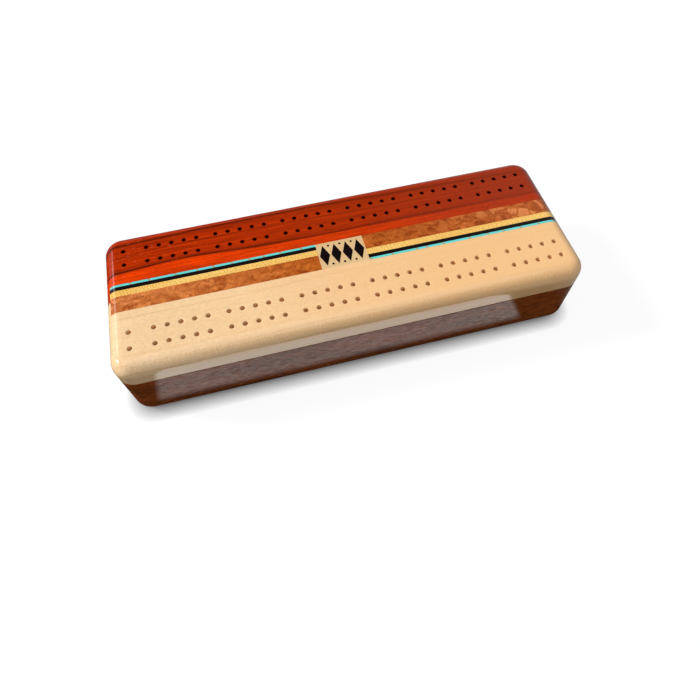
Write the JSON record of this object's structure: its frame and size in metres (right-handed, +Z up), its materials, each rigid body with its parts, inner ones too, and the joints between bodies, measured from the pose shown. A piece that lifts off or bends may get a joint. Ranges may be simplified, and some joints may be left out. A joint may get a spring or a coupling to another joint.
{
  "type": "cribbage box with drawer",
  "caption": "Long rounded cribbage board of two woods with an inlaid centre band, glued on a dark base whose card and peg drawer slides out of one end.",
  "frame": {"origin": "middle of the underside, on the surface that the box stands on", "axes": "+X along the length towards the drawer end, +Y across towards the padauk half, +Z up"},
  "size_m": [0.311, 0.109, 0.0575],
  "materials": {
    "padauk": "lacquered padauk, red-orange with dark streaks",
    "maple": "lacquered maple, pale cream",
    "walnut": "lacquered walnut, dark brown",
    "burl": "lacquered burl, mottled brown",
    "satinwood": "lacquered satinwood, golden yellow",
    "black_wood": "lacquered black dyed wood",
    "turquoise": "polished reconstituted turquoise with gold matrix",
    "tile_maple": "lacquered pale veneer",
    "drawer_wood": "sanded and oiled maple",
    "drawer_ply": "sanded birch plywood",
    "felt": "dark green wool felt",
    "magnet": "nickel-plated magnet",
    "brass": "turned and polished brass",
    "steel": "turned steel",
    "copper": "turned copper",
    "black_metal": "turned and blackened metal"
  },
  "bodies": {
    "case": {"board_padauk": "padauk", "board_maple": "maple", "inlay_turquoise_left": "turquoise", "inlay_black_left": "black_wood", "inlay_satinwood_left": "satinwood", "inlay_burl_left": "burl", "inlay_burl_right": "burl", "inlay_satinwood_right": "satinwood", "inlay_black_right": "black_wood", "inlay_turquoise_right": "turquoise", "tile": "tile_maple", "tile_lozenges": "black_wood", "tile_dots": "black_wood", "rail_front": "walnut", "rail_back": "walnut", "end_block": "walnut", "base_floor": "walnut", "base_magnets": "magnet"},
    "drawer": {"drawer_front": "walnut", "drawer_side_front": "drawer_wood", "drawer_side_back": "drawer_wood", "drawer_back": "drawer_wood", "drawer_bottom": "drawer_ply", "divider_front": "drawer_wood", "divider_rear": "drawer_wood", "drawer_magnets": "magnet", "card_felt_front": "felt", "card_felt_rear": "felt", "peg_rack": "walnut", "pegs_brass": "brass", "pegs_steel": "steel", "pegs_copper": "copper", "pegs_black": "black_metal"}
  },
  "joints": [
    {"name": "drawer_slide", "type": "slide", "parent": "case", "child": "drawer", "axis": [1, 0, 0], "range_m": [0, 0.25]}
  ]
}
